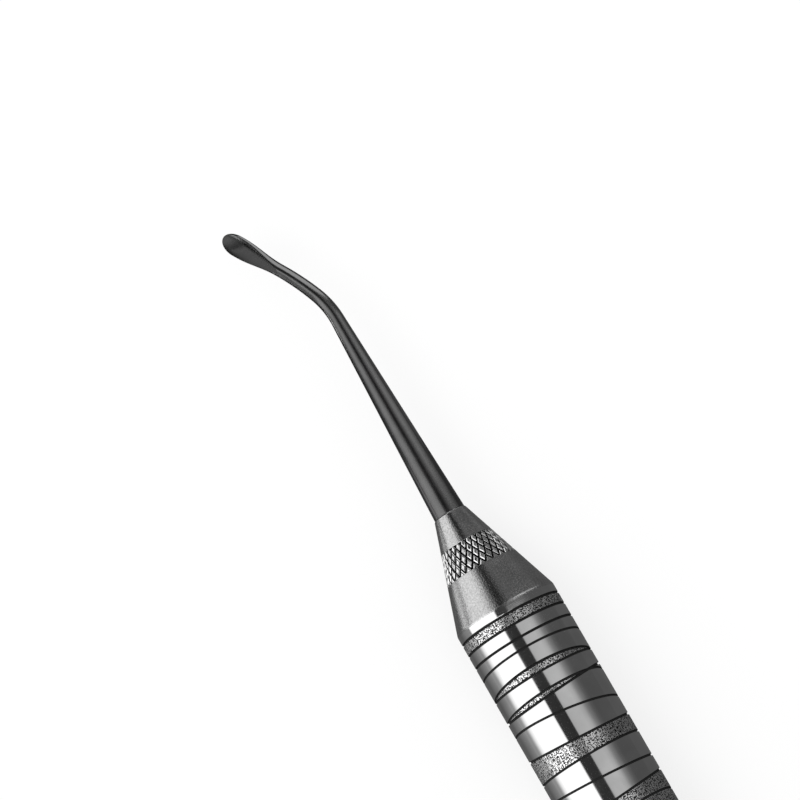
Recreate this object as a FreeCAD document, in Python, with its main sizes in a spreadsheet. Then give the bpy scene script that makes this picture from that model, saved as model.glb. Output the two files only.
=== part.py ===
import FreeCAD, Part
import math
import os
import Sketcher
from FreeCAD import Placement, Rotation, Vector

# A raspatory: a black blade with a bent neck, held by a knurled nose cone in a hollow engraved handle.
# +X runs from the butt to the tip, the neck bends towards +Y and the hollow face looks up, towards +Z.
# The instrument lies on its handle. The origin is on the floor, under the axis, at mid-length.

# Driving sizes, in millimetres and degrees.
SIZES = [
    ("handle_diameter", 10.0, "outside of the tube, the collar and the plug"),
    ("tube_length", 118.0, "handle tube, from the seam to the plug"),
    ("tube_wall", 0.8, "wall of the handle tube"),
    ("spigot_clearance", 0.02, "gap round each spigot in the bore"),
    ("spigot_length", 8.0, "how far the cone and the plug reach into the tube"),
    ("groove_width", 0.25, "engraved grooves of the handle"),
    ("groove_depth", 0.17, "engraved grooves of the handle"),
    ("first_ring", 1.0, "front of the tube to the first ring groove"),
    ("second_ring", 2.3, "front of the tube to the second ring groove"),
    ("pair_start", 5.9, "front of the tube to the first pair of leaning grooves"),
    ("pair_pitch", 46.0, "from one pair to the next"),
    ("pair_count", 2, "pairs of leaning grooves that cross"),
    ("steep_tilt", 9.0, "lean of the steep groove of a pair"),
    ("cross_offset", 1.8, "steep groove to the one that crosses it, along the axis"),
    ("cross_tilt", 6.5, "lean of the crossing groove"),
    ("turn_step", 137.5, "turn about the axis from one leaning groove to the next"),
    ("rear_land", 16.0, "plain rear end of the tube, where the handle is clamped"),
    ("rear_groove_width", 0.7, "ring grooves on either side of the plain land"),
    ("plug_head", 5.8, "end plug outside the tube"),
    ("plug_chamfer", 0.6, "bevel of the butt"),
    ("seam_width", 0.25, "black seam between the collar and the tube"),
    ("seam_depth", 0.2, "groove at each end of the tube"),
    ("collar_length", 0.86, "straight land behind the cone"),
    ("cone_length", 10.25, "shoulder to nose"),
    ("nose_diameter", 3.24, "front end of the cone"),
    ("nose_chamfer", 0.12, "bevel of the nose, counted in the cone's length"),
    ("shoulder_round", 2.5, "rounding between the cone and the collar"),
    ("knurl_start", 4.3, "shoulder to the rear edge of the knurled band"),
    ("knurl_width", 2.85, "knurled band along the axis"),
    ("knurl_count", 30, "grooves of each hand"),
    ("knurl_helix", 26.0, "angle of the grooves to the cone's own lines"),
    ("knurl_depth", 0.38, "depth of the knurl"),
    ("knurl_angle", 90.0, "angle of the knurling tool's edge"),
    ("tang_diameter", 2.4, "hidden end of the shank"),
    ("tang_length", 14.0, "hidden end of the shank"),
    ("tang_clearance", 0.02, "gap round the tang"),
    ("shank_diameter", 3.06, "shank where it leaves the nose"),
    ("shank_length", 20.65, "straight taper"),
    ("neck_diameter", 1.38, "thin end of the taper"),
    ("first_bend_radius", 8.6, "main bend, at the centre line"),
    ("first_bend_angle", 21.0, "main bend"),
    ("second_bend_radius", 25.0, "easy bend in front of it"),
    ("second_bend_angle", 9.0, "easy bend in front of it"),
    ("throat_diameter", 1.2, "round section where the blade begins"),
    ("flare_start", 0.3, "end of the bend to the start of the flare"),
    ("flare_length", 4.0, "over which the round section becomes the blade's"),
    ("waist_length", 0.45, "full-width stretch in front of the flare"),
    ("blade_width", 2.12, "full width across the blade's own plane"),
    ("blade_thickness", 0.9, "of the blank, before it is hollow ground"),
    ("tip_length", 1.5, "rounded end"),
    ("blade_roll", 32.0, "turn of the blade about its own length, outwards"),
    ("grind_entry", 0.2, "end of the bend to where the hollow grind begins"),
    ("grind_slope", 10.1, "angle at which the grind goes down into the blade"),
    ("grind_run", 3.8, "length of the sloping stretch of the grind"),
    ("grind_lift", 5.0, "radius with which the grind comes up to the tip"),
    ("grind_radius", 2.0, "radius of the hollow across the blade"),
    ("grind_shift", 0.1, "grind's path to the outer side of the blade's middle"),
]

FIRST_BEND_STEPS = 4
SECOND_BEND_STEPS = 2
FLARE_SECTIONS = 4
COINCIDENCE = 1e-4

# Stations along the axis, as distances from the butt.
RADIUS = "Size.handle_diameter / 2"
BORE_RADIUS = "(Size.handle_diameter / 2 - Size.tube_wall)"
SPIGOT_RADIUS = "(Size.handle_diameter / 2 - Size.tube_wall - Size.spigot_clearance)"
TUBE_REAR = "Size.plug_head"
TUBE_FRONT = TUBE_REAR + " + Size.tube_length"
SHOULDER = TUBE_FRONT + " + Size.seam_width + Size.collar_length"
NOSE = SHOULDER + " + Size.cone_length"

# A point of the neck's second bend at a given turn, in the frame of the working end, and the bend's end.
BEND_POINT_X = ("(Size.shank_length + Size.first_bend_radius * sin(Size.first_bend_angle * 1deg)"
                " + Size.second_bend_radius * (sin({0} * 1deg) - sin(Size.first_bend_angle * 1deg)))")
BEND_POINT_Y = ("(Size.first_bend_radius * (1 - cos(Size.first_bend_angle * 1deg))"
                " + Size.second_bend_radius * (cos(Size.first_bend_angle * 1deg) - cos({0} * 1deg)))")
BEND = "(Size.first_bend_angle + Size.second_bend_angle)"
BEND_X = BEND_POINT_X.format(BEND)
BEND_Y = BEND_POINT_Y.format(BEND)

# How far the blade reaches from there.
TIP_CENTRE = "(Size.flare_start + Size.flare_length + Size.waist_length)"
BLADE_LENGTH = "(%s + Size.tip_length)" % TIP_CENTRE
OVERALL = "(%s + %s + %s * cos(%s * 1deg))" % (NOSE, BEND_X, BLADE_LENGTH, BEND)

doc = FreeCAD.newDocument("raspatory")
sheet = doc.addObject("Spreadsheet::Sheet", "Size")


def fill_sheet():
    """One row for each driving size: its alias, its number and what it measures."""
    for row, (alias, number, meaning) in enumerate(SIZES, 1):
        sheet.set("A%d" % row, alias)
        sheet.set("B%d" % row, str(number))
        sheet.setAlias("B%d" % row, alias)
        sheet.set("C%d" % row, meaning)
    doc.recompute()


def value(expression):
    """The number that an expression on the sheet gives now."""
    result = sheet.evalExpression(expression)
    return float(getattr(result, "Value", result))


def new_body(label):
    body = doc.addObject("PartDesign::Body", label)
    body.Label = label
    return body


def origin_part(body, role):
    """The body's own origin plane or axis."""
    return next(part for part in body.Origin.OriginFeatures if part.Role == role)


def attach(feature, support, offset, axis, angle):
    """Lay a sketch, plane or primitive on a support, moved by offset and turned about one axis."""
    feature.AttachmentSupport = [(support, "")]
    feature.MapMode = "FlatFace"
    feature.AttachmentOffset = Placement(Vector(), Rotation(axis, value(angle)))
    for name, distance in zip("xyz", offset):
        feature.setExpression("AttachmentOffset.Base." + name, distance)
    feature.setExpression("AttachmentOffset.Rotation.Angle", "(%s) * 1deg" % angle)


def new_sketch(body, name, support, offset=("0", "0", "0"), axis=Vector(0, 0, 1), angle="0"):
    sketch = body.newObject("Sketcher::SketchObject", name)
    attach(sketch, support, offset, axis, angle)
    return sketch


def dimension(sketch, name, expression, kind, *elements):
    """A named dimension of a sketch, held by an expression on the sheet."""
    index = sketch.addConstraint(Sketcher.Constraint(kind, *elements, value(expression)))
    sketch.renameConstraint(index, name)
    sketch.setExpression("Constraints." + name, expression)


def outline(sketch, corners):
    """A closed outline of straight lines through corners, each a pair of expressions."""
    points = [Vector(value(x), value(y), 0) for x, y in corners]
    count = len(points)
    for i in range(count):
        sketch.addGeometry(Part.LineSegment(points[i], points[(i + 1) % count]), False)
    for i in range(count):
        sketch.addConstraint(Sketcher.Constraint("Coincident", i, 2, (i + 1) % count, 1))
    for i, (x, y) in enumerate(corners):
        dimension(sketch, "x%d" % i, x, "DistanceX", -1, 1, i, 1)
        dimension(sketch, "y%d" % i, y, "DistanceY", -1, 1, i, 1)


def circle(sketch, radius):
    """A circle round the sketch's origin."""
    sketch.addGeometry(Part.Circle(Vector(), Vector(0, 0, 1), value(radius)), False)
    sketch.addConstraint(Sketcher.Constraint("Coincident", 0, 3, -1, 1))
    dimension(sketch, "radius", radius, "Radius", 0)


def ellipse(sketch, width, height):
    """An upright ellipse round the sketch's origin, wider than it is high."""
    across = Vector(value(width) / 2, 0, 0)
    up = Vector(0, value(height) / 2, 0)
    sketch.addGeometry(Part.Ellipse(across, up, Vector()), False)
    sketch.exposeInternalGeometry(0)
    sketch.addConstraint(Sketcher.Constraint("Coincident", 0, 3, -1, 1))
    sketch.addConstraint(Sketcher.Constraint("Horizontal", 1))
    dimension(sketch, "width", width, "Distance", 1)
    dimension(sketch, "height", height, "Distance", 2)


def turn_about_x(body, name, corners):
    """A solid of revolution about the body's X axis."""
    sketch = new_sketch(body, name + "_outline", origin_part(body, "XY_Plane"))
    outline(sketch, corners)
    feature = body.newObject("PartDesign::Revolution", name)
    feature.Profile = sketch
    feature.ReferenceAxis = (sketch, ["H_Axis"])
    feature.Angle = 360
    doc.recompute()
    return feature


def round_ring(body, name, x, radius, rounding):
    """Round the circular edge of the given station and radius."""
    before = body.Tip
    station = value(x)
    size = value(radius)
    edges = []
    for index, edge in enumerate(before.Shape.Edges, 1):
        curve = edge.Curve
        if isinstance(curve, Part.Circle) and abs(curve.Center.x - station) < COINCIDENCE:
            if abs(curve.Radius - size) < COINCIDENCE:
                edges.append("Edge%d" % index)
    feature = body.newObject("PartDesign::Fillet", name)
    feature.Base = (before, edges)
    feature.setExpression("Radius", rounding)
    doc.recompute()


def require_less(before, after, what):
    """A cut that points away from the solid removes nothing, so its volume is compared."""
    if not after < before:
        raise RuntimeError(what + " removed nothing")


def place_on_axis(feature, station):
    """Put a sub-part on the handle's axis, at a station counted from the butt."""
    feature.setExpression("Placement.Base.x", "%s - %s / 2" % (station, OVERALL))
    feature.setExpression("Placement.Base.z", RADIUS)


def build_plug():
    """The plain rear closure, with its spigot in the tube. Its X is zero at the end of the tube."""
    body = new_body("end_plug")
    turn_about_x(body, "plug_turned", [
        ("-Size.plug_head", "0"),
        ("-Size.plug_head", RADIUS + " - Size.plug_chamfer"),
        ("-Size.plug_head + Size.plug_chamfer", RADIUS),
        ("-Size.rear_groove_width", RADIUS),
        ("-Size.rear_groove_width", RADIUS + " - Size.seam_depth"),
        ("0", RADIUS + " - Size.seam_depth"),
        ("0", SPIGOT_RADIUS),
        ("Size.spigot_length", SPIGOT_RADIUS),
        ("Size.spigot_length", "0"),
    ])
    place_on_axis(body, TUBE_REAR)
    return body


def groove_disc(name, distance, tilt, turn, width):
    """A thin disc through the axis at a distance behind the tube's front, leaning by tilt."""
    disc = doc.addObject("Part::Cylinder", name)
    disc.setExpression("Radius", "Size.handle_diameter")
    disc.setExpression("Height", width)
    lean = Rotation(Vector(0, math.cos(math.radians(turn)), math.sin(math.radians(turn))), tilt)
    facing = lean.multiply(Rotation(Vector(0, 1, 0), 90))
    centre = Vector(value("Size.tube_length") - distance, 0, 0)
    disc.Placement = Placement(centre - facing.multVec(Vector(0, 0, value(width) / 2)), facing)
    return disc


def groove_discs():
    """Two ring grooves at the front, one before the plain land, and pairs of leaning ones between."""
    fine = "Size.groove_width"
    wide = "Size.rear_groove_width"
    last = value("Size.tube_length - Size.rear_land - Size.rear_groove_width / 2")
    discs = [
        groove_disc("first_ring_disc", value("Size.first_ring"), 0, 0, fine),
        groove_disc("second_ring_disc", value("Size.second_ring"), 0, 0, fine),
        groove_disc("last_ring_disc", last, 0, 0, wide),
    ]
    turn = 0
    for pair in range(int(value("Size.pair_count"))):
        distance = value("Size.pair_start") + pair * value("Size.pair_pitch")
        for slant in ("steep", "cross"):
            tilt = value("Size.%s_tilt" % slant)
            discs.append(groove_disc(slant + "_disc", distance, tilt, turn, fine))
            distance += value("Size.cross_offset")
            turn += value("Size.turn_step")
    return discs


def axis_cylinder(name, radius, length):
    """A cylinder along X that starts at zero."""
    cylinder = doc.addObject("Part::Cylinder", name)
    cylinder.setExpression("Radius", radius)
    cylinder.setExpression("Height", length)
    cylinder.Placement = Placement(Vector(), Rotation(Vector(0, 1, 0), 90))
    return cylinder


def build_tube():
    """The hollow handle: a skin cut by the leaning discs, laid on a core, then bored."""
    discs = doc.addObject("Part::MultiFuse", "groove_discs")
    discs.Shapes = groove_discs()
    skin = doc.addObject("Part::Cut", "engraved_skin")
    skin.Base = axis_cylinder("tube_skin", RADIUS, "Size.tube_length")
    skin.Tool = discs
    solid = doc.addObject("Part::MultiFuse", "engraved_bar")
    solid.Shapes = [skin, axis_cylinder("tube_core", RADIUS + " - Size.groove_depth", "Size.tube_length")]
    tube = doc.addObject("Part::Cut", "handle_tube")
    tube.Label = "handle_tube"
    tube.Base = solid
    tube.Tool = axis_cylinder("tube_bore", BORE_RADIUS, "Size.tube_length")
    place_on_axis(tube, TUBE_REAR)
    doc.recompute()
    return tube


def cut_knurl(body, hand):
    """All V grooves of one hand: one is cut square across its own direction and then repeated."""
    slope = "atan((%s - Size.nose_diameter / 2) / (Size.cone_length - Size.nose_chamfer))" % RADIUS
    middle = "(Size.knurl_start + Size.knurl_width / 2)"
    plane = body.newObject("PartDesign::Plane", "knurl_tangent_plane")
    surface = "(%s - %s * tan(%s))" % (RADIUS, middle, slope)
    attach(plane, origin_part(body, "YZ_Plane"), ("0", surface, middle), Vector(1, 0, 0), slope + " / 1deg")
    sketch = new_sketch(body, "knurl_edge", plane, axis=Vector(0, 1, 0), angle="%d * Size.knurl_helix" % hand)
    half_width = "2 * Size.knurl_depth * tan(Size.knurl_angle / 2 * 1deg)"
    outline(sketch, [
        ("-" + half_width, "Size.knurl_depth"),
        (half_width, "Size.knurl_depth"),
        ("0", "-Size.knurl_depth"),
    ])
    before = body.Tip.Shape.Volume
    groove = body.newObject("PartDesign::Pocket", "knurl_groove")
    groove.Profile = sketch
    groove.SideType = "Symmetric"
    groove.setExpression("Length", "Size.knurl_width / cos(%s) / cos(Size.knurl_helix * 1deg)" % slope)
    doc.recompute()
    require_less(before, groove.Shape.Volume, "the knurl groove")
    pattern = body.newObject("PartDesign::PolarPattern", "knurl_grooves")
    pattern.Originals = [groove]
    pattern.Axis = (origin_part(body, "X_Axis"), [""])
    pattern.Angle = 360
    pattern.setExpression("Occurrences", "Size.knurl_count")
    body.Tip = pattern
    doc.recompute()
    require_less(groove.Shape.Volume, pattern.Shape.Volume, "the pattern of knurl grooves")


def build_cone():
    """The nose cone, its collar, seam relief and spigot, bored for the tang. X is zero at the shoulder."""
    body = new_body("front_cone")
    seat = "(Size.collar_length + Size.seam_width)"
    tang_bore = "(Size.tang_diameter / 2 + Size.tang_clearance)"
    turn_about_x(body, "cone_turned", [
        ("-%s - Size.spigot_length" % seat, tang_bore),
        ("-%s - Size.spigot_length" % seat, SPIGOT_RADIUS),
        ("-" + seat, SPIGOT_RADIUS),
        ("-" + seat, RADIUS + " - Size.seam_depth"),
        ("-Size.collar_length", RADIUS + " - Size.seam_depth"),
        ("-Size.collar_length", RADIUS),
        ("0", RADIUS),
        ("Size.cone_length - Size.nose_chamfer", "Size.nose_diameter / 2"),
        ("Size.cone_length", "Size.nose_diameter / 2 - Size.nose_chamfer"),
        ("Size.cone_length", tang_bore),
    ])
    round_ring(body, "shoulder_rounding", "0", RADIUS, "Size.shoulder_round")
    for hand in (1, -1):
        cut_knurl(body, hand)
    place_on_axis(body, SHOULDER)
    return body


def add_neck(body):
    """The bent neck: round sections that thin along two arcs, tangent to the shank."""
    first_length = "Size.first_bend_radius * Size.first_bend_angle"
    second_length = "Size.second_bend_radius * Size.second_bend_angle"
    thinning = "(Size.neck_diameter - Size.throat_diameter) / (%s + %s)" % (first_length, second_length)
    sections = []
    for i in range(FIRST_BEND_STEPS):
        turn = "Size.first_bend_angle * %d / %d" % (i, FIRST_BEND_STEPS)
        x = "Size.shank_length + Size.first_bend_radius * sin(%s * 1deg)" % turn
        y = "Size.first_bend_radius * (1 - cos(%s * 1deg))" % turn
        passed = "Size.first_bend_radius * %s" % turn
        sections.append((x, y, turn, passed))
    for i in range(SECOND_BEND_STEPS + 1):
        part = "Size.second_bend_angle * %d / %d" % (i, SECOND_BEND_STEPS)
        turn = "(Size.first_bend_angle + %s)" % part
        passed = "(%s + Size.second_bend_radius * %s)" % (first_length, part)
        sections.append((BEND_POINT_X.format(turn), BEND_POINT_Y.format(turn), turn, passed))
    sketches = []
    for x, y, turn, passed in sections:
        sketch = new_sketch(body, "neck_section", origin_part(body, "YZ_Plane"), (y, "0", x),
                            Vector(0, 1, 0), turn)
        circle(sketch, "(Size.neck_diameter - %s * %s) / 2" % (thinning, passed))
        sketches.append(sketch)
    neck = body.newObject("PartDesign::AdditiveLoft", "neck")
    neck.Profile = sketches[0]
    neck.Sections = [(sketch, [""]) for sketch in sketches[1:]]
    neck.Ruled = True
    doc.recompute()


def add_blade(body):
    """The blade's blank: a flare from the round throat to a flat oval, then a half ellipsoid as its tip."""
    end_plane = body.newObject("PartDesign::Plane", "bend_end")
    attach(end_plane, origin_part(body, "YZ_Plane"), (BEND_Y, "0", BEND_X), Vector(0, 1, 0), BEND)
    plane = body.newObject("PartDesign::Plane", "blade_root")
    attach(plane, end_plane, ("0", "0", "0"), Vector(0, 0, 1), "-Size.blade_roll")
    root = new_sketch(body, "blade_root_section", plane)
    circle(root, "Size.throat_diameter / 2")
    sections = []
    for i in range(FLARE_SECTIONS + 1):
        share = i / FLARE_SECTIONS
        ease = share * share * (3 - 2 * share)
        station = "Size.flare_start + Size.flare_length * %d / %d" % (i, FLARE_SECTIONS)
        sketch = new_sketch(body, "flare_section", plane, ("0", "0", station))
        if i == 0:
            circle(sketch, "Size.throat_diameter / 2")
        else:
            mix = "Size.throat_diameter + (Size.%s - Size.throat_diameter) * " + "%.6f" % ease
            ellipse(sketch, mix % "blade_width", mix % "blade_thickness")
        sections.append(sketch)
    waist = new_sketch(body, "waist_section", plane, ("0", "0", TIP_CENTRE))
    ellipse(waist, "Size.blade_width", "Size.blade_thickness")
    blank = body.newObject("PartDesign::AdditiveLoft", "blade_blank")
    blank.Profile = root
    blank.Sections = [(sketch, [""]) for sketch in sections + [waist]]
    doc.recompute()
    tip = body.newObject("PartDesign::AdditiveEllipsoid", "blade_tip")
    attach(tip, plane, ("0", "0", TIP_CENTRE), Vector(0, 0, 1), "0")
    tip.setExpression("Radius1", "Size.tip_length")
    tip.setExpression("Radius2", "Size.blade_width / 2")
    tip.setExpression("Radius3", "Size.blade_thickness / 2")
    tip.Angle1 = 0
    tip.Angle2 = 90
    tip.Angle3 = 360
    doc.recompute()
    return plane


def grind_face(body, plane):
    """The hollow face: a round wheel edge runs down a slope into the blade and comes up again at the tip."""
    slope = "Size.grind_slope * 1deg"
    along = "(cos(%s))" % slope
    down = "(sin(%s))" % slope
    # The wheel edge's centre line lies one grind radius above the floor of the hollow, and starts far
    # enough back to be clear of the neck.
    begin_x = "(Size.grind_entry + Size.grind_radius * (%s - 2 * %s))" % (down, along)
    begin_y = "(Size.throat_diameter / 2 + Size.grind_radius * (%s + 2 * %s))" % (along, down)
    low_x = "(Size.grind_entry + Size.grind_run * %s + Size.grind_radius * %s)" % (along, down)
    low_y = "(Size.throat_diameter / 2 - Size.grind_run * %s + Size.grind_radius * %s)" % (down, along)
    lift = "(Size.grind_lift - Size.grind_radius)"
    end_x = "(%s + %s * (%s + sin(2 * %s)))" % (low_x, lift, down, slope)
    path = new_sketch(body, "grind_line", plane, ("Size.grind_shift", "0", "0"), Vector(0, 1, 0), "-90")
    begin = Vector(value(begin_x), value(begin_y), 0)
    low = Vector(value(low_x), value(low_y), 0)
    angle = math.radians(value("Size.grind_slope"))
    centre = low + Vector(math.sin(angle), math.cos(angle), 0) * value(lift)
    path.addGeometry(Part.LineSegment(begin, low), False)
    rise = Part.Circle(centre, Vector(0, 0, 1), value(lift))
    bottom = math.radians(270)
    path.addGeometry(Part.ArcOfCircle(rise, bottom - angle, bottom + 2 * angle), False)
    path.addConstraint(Sketcher.Constraint("Tangent", 0, 2, 1, 1))
    dimension(path, "begin_x", begin_x, "DistanceX", -1, 1, 0, 1)
    dimension(path, "begin_y", begin_y, "DistanceY", -1, 1, 0, 1)
    dimension(path, "low_x", low_x, "DistanceX", -1, 1, 0, 2)
    dimension(path, "low_y", low_y, "DistanceY", -1, 1, 0, 2)
    dimension(path, "lift", lift, "Radius", 1)
    dimension(path, "end_x", end_x, "DistanceX", -1, 1, 1, 2)
    edge = new_sketch(body, "wheel_edge", plane, ("Size.grind_shift", begin_y, begin_x),
                      Vector(1, 0, 0), "Size.grind_slope")
    circle(edge, "Size.grind_radius")
    before = body.Tip.Shape.Volume
    hollow = body.newObject("PartDesign::SubtractivePipe", "hollow_grind")
    hollow.Profile = edge
    hollow.Spine = path
    doc.recompute()
    require_less(before, hollow.Shape.Volume, "the hollow grind")


def build_working_end():
    """Tang, tapered shank, bent neck and hollow-ground blade, all one bar. X is zero at the cone's nose."""
    body = new_body("working_end")
    turn_about_x(body, "shank_turned", [
        ("-Size.tang_length", "0"),
        ("-Size.tang_length", "Size.tang_diameter / 2"),
        ("0", "Size.tang_diameter / 2"),
        ("0", "Size.shank_diameter / 2"),
        ("Size.shank_length", "Size.neck_diameter / 2"),
        ("Size.shank_length", "0"),
    ])
    add_neck(body)
    plane = add_blade(body)
    grind_face(body, plane)
    place_on_axis(body, NOSE)
    return body


def check(parts):
    """Stop if any object failed or a finished sub-part is empty, broken or not one solid."""
    for item in doc.Objects:
        if "Invalid" in item.State or "Error" in item.State:
            raise RuntimeError(item.Name + " failed")
    for part in parts:
        shape = part.Shape
        if shape.isNull() or not shape.isValid() or len(shape.Solids) != 1:
            raise RuntimeError(part.Label + " is not one valid solid")
        print("%s %.2f mm3, %d faces" % (part.Label, shape.Volume, len(shape.Faces)))


fill_sheet()
parts = [build_plug(), build_tube(), build_cone(), build_working_end()]
doc.recompute()
check(parts)
os.makedirs("parts", exist_ok=True)
for part in parts:
    part.Shape.exportStep("parts/%s.step" % part.Label)
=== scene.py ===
import math
from types import SimpleNamespace

import bmesh
import bpy
from bpy.props import FloatProperty, FloatVectorProperty, IntProperty, PointerProperty
from mathutils import Matrix, Quaternion, Vector


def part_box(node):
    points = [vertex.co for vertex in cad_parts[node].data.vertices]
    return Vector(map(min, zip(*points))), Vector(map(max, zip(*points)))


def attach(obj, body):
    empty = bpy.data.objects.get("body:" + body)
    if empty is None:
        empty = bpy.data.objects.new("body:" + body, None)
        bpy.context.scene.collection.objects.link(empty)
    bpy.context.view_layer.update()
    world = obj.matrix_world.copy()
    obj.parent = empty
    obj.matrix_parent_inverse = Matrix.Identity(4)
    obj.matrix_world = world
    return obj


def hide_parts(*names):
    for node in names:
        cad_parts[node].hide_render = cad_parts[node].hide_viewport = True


bl_info = {
    "name": "Raspatory",
    "version": (1, 0, 0),
    "blender": (4, 5, 0),
    "location": "3D View > Sidebar > Raspatory",
    "description": "Detailed raspatory on its CAD frame: engraved handle, knurled cone, black blade, studio",
    "category": "Add Mesh",
}

# The CAD frame. Meshes are drawn in millimetres about the handle's axis and stored in metres, with the
# axis at its height over the floor.
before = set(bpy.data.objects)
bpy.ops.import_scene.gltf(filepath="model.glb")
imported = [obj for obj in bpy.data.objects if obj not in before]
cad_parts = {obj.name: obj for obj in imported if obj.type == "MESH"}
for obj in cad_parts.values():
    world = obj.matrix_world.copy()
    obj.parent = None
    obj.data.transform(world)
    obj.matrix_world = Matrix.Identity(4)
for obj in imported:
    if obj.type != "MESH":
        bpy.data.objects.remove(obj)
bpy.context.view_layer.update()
MM = 0.001
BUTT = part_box("end_plug")[0].x / MM
TUBE_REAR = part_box("handle_tube")[0].x / MM
TUBE_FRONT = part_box("handle_tube")[1].x / MM
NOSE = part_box("front_cone")[1].x / MM
AXIS_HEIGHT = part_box("handle_tube")[1].z / MM / 2

# How finely the shapes are divided.
SMOOTH_ANGLE = math.radians(20)
HANDLE_SEGMENTS = 120
CONE_SEGMENTS = 180
SHOULDER_STEPS = 8
BLADE_SEGMENTS = 96
SHANK_STEPS = 20
FIRST_BEND_STEPS = 28
SECOND_BEND_STEPS = 16
FLARE_STEPS = 64
TIP_STEPS = 40
WHEEL_SEGMENTS = 160
WHEEL_SLOPE_STEPS = 30
WHEEL_LIFT_STEPS = 48

# Hidden fits, in millimetres.
CLEARANCE = 0.02
SPIGOT_LENGTH = 8.0
TANG_LENGTH = 14.0

# Within these distances, in millimetres, a vertex lies on a cut's plane or on the rim of the tube.
CUT_TOLERANCE = 1e-5
RIM_TOLERANCE = 1e-4


def length(name, description, default):
    """A size in metres, given here in millimetres."""
    return FloatProperty(name=name, description=description, default=default * MM, min=0.0,
                         unit="LENGTH", precision=5)


def angle(name, description, default):
    """An angle, given here in degrees."""
    return FloatProperty(name=name, description=description, default=math.radians(default), subtype="ANGLE")


def shade(name, description, default):
    return FloatVectorProperty(name=name, description=description, default=default, subtype="COLOR",
                               size=3, min=0.0, max=1.0)


def share(name, description, default):
    return FloatProperty(name=name, description=description, default=default, min=0.0, max=1.0,
                         subtype="FACTOR")


class RASP_PG_handle(bpy.types.PropertyGroup):
    """Sizes of the handle and its end plug"""
    diameter: length("Diameter", "Outside of the handle", 10.0)
    bore: length("Bore", "Inside of the tube", 8.4)
    groove_width: length("Groove width", "Main engraved grooves", 0.25)
    groove_depth: length("Groove depth", "Main engraved grooves", 0.17)
    first_ring: length("First ring", "Front of the tube to the first ring groove", 1.0)
    second_ring: length("Second ring", "Front of the tube to the second ring groove", 2.3)
    pair_start: length("Pair start", "Front of the tube to the first pair of leaning grooves", 5.9)
    pair_pitch: length("Pair pitch", "From one pair to the next", 46.0)
    pair_count: IntProperty(name="Pairs", description="Pairs of leaning grooves", default=2, min=0)
    cross_offset: length("Cross offset", "Steep groove to the one that crosses it", 1.8)
    steep_tilt: angle("Steep tilt", "Lean of the steep groove of a pair", 9.0)
    cross_tilt: angle("Cross tilt", "Lean of the crossing groove", 6.5)
    turn_step: angle("Turn step", "Turn about the axis from one leaning groove to the next", 137.5)
    rear_land: length("Rear land", "Plain rear end of the tube", 16.0)
    rear_groove: length("Rear groove", "Width of the ring grooves beside the plain land", 0.7)
    fine_width: length("Fine width", "Fine leaning lines between the main grooves", 0.23)
    fine_depth: length("Fine depth", "Fine leaning lines between the main grooves", 0.12)
    fine_start: length("Fine start", "Front of the tube to the first fine line", 3.75)
    fine_pitch: length("Fine pitch", "From one fine line to the next", 2.15)
    fine_count: IntProperty(name="Fine lines", description="Fine leaning lines", default=45, min=0)
    fine_tilt: angle("Fine tilt", "Largest lean of a fine line", 7.5)
    seam_depth: length("Seam depth", "Grooves at the ends of the tube", 0.2)
    plug_chamfer: length("Plug bevel", "Bevel of the butt", 0.6)


class RASP_PG_cone(bpy.types.PropertyGroup):
    """Sizes of the nose cone"""
    length: length("Length", "Shoulder to nose", 10.25)
    collar: length("Collar", "Straight land behind the cone", 0.86)
    seam_width: length("Seam", "Black seam between the collar and the tube", 0.25)
    nose_diameter: length("Nose", "Front end of the cone", 3.24)
    nose_chamfer: length("Nose bevel", "Bevel of the nose", 0.12)
    shoulder_round: length("Shoulder", "Rounding between the collar and the cone", 0.8)
    knurl_start: length("Knurl start", "Shoulder to the rear edge of the knurled band", 4.3)
    knurl_width: length("Knurl width", "Knurled band along the axis", 2.85)
    knurl_count: IntProperty(name="Knurl count", description="Diamonds round the cone", default=30, min=8)
    knurl_pitch: length("Knurl pitch", "One diamond along the axis", 1.3)
    knurl_depth: length("Knurl depth", "Height of the diamonds", 0.3)
    knurl_flat: share("Knurl flat", "Flat top of a diamond as a share of its rounded crown", 0.7)


class RASP_PG_blade(bpy.types.PropertyGroup):
    """Sizes of the working end"""
    tang_diameter: length("Tang", "Hidden end of the shank", 2.4)
    shank_diameter: length("Shank", "Shank where it leaves the nose", 3.06)
    shank_length: length("Shank length", "Straight taper", 20.65)
    neck_diameter: length("Neck", "Thin end of the taper", 1.38)
    throat_diameter: length("Throat", "Round section where the blade begins", 1.2)
    first_bend: length("First bend", "Radius of the main bend", 8.6)
    first_angle: angle("First turn", "Main bend", 21.0)
    second_bend: length("Second bend", "Radius of the easy bend in front of it", 25.0)
    second_angle: angle("Second turn", "Easy bend in front of it", 9.0)
    flare_start: length("Flare start", "End of the bend to the start of the flare", 0.3)
    flare_length: length("Flare", "Over which the round section becomes the blade's", 4.0)
    waist_length: length("Waist", "Full-width stretch in front of the flare", 0.45)
    width: length("Width", "Full width of the blade", 2.12)
    thickness: length("Thickness", "Of the blank, before it is hollow ground", 0.9)
    tip_length: length("Tip", "Rounded end", 1.5)
    roll: angle("Roll", "Turn of the blade about its own length, outwards", 32.0)
    grind_entry: length("Grind entry", "End of the bend to where the hollow grind begins", 0.2)
    grind_slope: angle("Grind slope", "Angle at which the grind goes down into the blade", 10.1)
    grind_run: length("Grind run", "Sloping stretch of the grind", 3.8)
    grind_lift: length("Grind lift", "Radius with which the grind comes up to the tip", 5.0)
    grind_radius: length("Grind radius", "Radius of the hollow across the blade", 2.0)
    grind_shift: length("Grind shift", "Grind's path to the outer side of the blade's middle", 0.1)


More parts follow.
